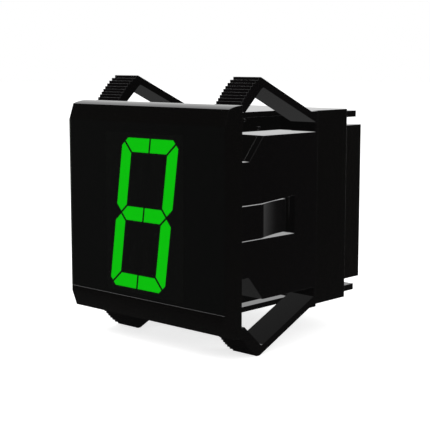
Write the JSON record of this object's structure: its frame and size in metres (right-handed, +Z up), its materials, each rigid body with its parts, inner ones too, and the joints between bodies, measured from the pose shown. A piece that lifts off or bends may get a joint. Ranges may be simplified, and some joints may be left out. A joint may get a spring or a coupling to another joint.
{
  "type": "sixteen-segment display",
  "caption": "Panel-mount display: a square black bezel with a dark filter over a slanted green segment character, a plastic case behind it, and ridged spring arms that grip the panel.",
  "frame": {"origin": "centre of the plane of the bezel's back, which rests on the panel", "axes": "+Y into the panel, away from the viewer; +Z up; +X to the viewer's right"},
  "size_m": [0.048, 0.0526, 0.059],
  "materials": {
    "smoked_filter": "smooth, dark tinted and see-through",
    "black_casing": "fine satin grain",
    "black_mask": "dull",
    "lit_green": "clear resin, lit",
    "unlit_resin": "clear resin, dark",
    "led_resin": "clear",
    "board_laminate": "green solder mask",
    "header_plastic": "moulded",
    "gold_pins": "gold plated",
    "black_bracket": "fine satin grain",
    "chip_black": "moulded",
    "resistor_ceramic": "glazed",
    "screw_steel": "zinc plated",
    "winding_tape": "yellow tape",
    "capacitor_sleeve": "sleeved can",
    "opto_white": "moulded",
    "terminal_green": "moulded"
  },
  "bodies": {
    "root": {"front_filter": "smoked_filter", "bezel_frame": "black_casing", "segment_mask": "black_mask", "lit_segments": "lit_green", "unlit_segments": "unlit_resin", "led_chips": "led_resin", "led_board": "board_laminate", "pin_header": "header_plastic", "header_pins": "gold_pins", "header_socket": "header_plastic", "case_body": "black_casing", "bracket_right": "black_bracket", "bracket_left": "black_bracket", "driver_board": "board_laminate", "microcontroller": "chip_black", "driver_chips": "chip_black", "resistor_chips": "resistor_ceramic", "driver_board_screws": "screw_steel", "power_board": "board_laminate", "power_transformer": "winding_tape", "power_capacitor": "capacitor_sleeve", "voltage_regulator": "chip_black", "io_board": "board_laminate", "opto_couplers": "opto_white", "io_board_screws": "screw_steel", "terminal_blocks": "terminal_green", "terminal_screws": "screw_steel", "rear_cover": "black_casing"}
  },
  "joints": []
}
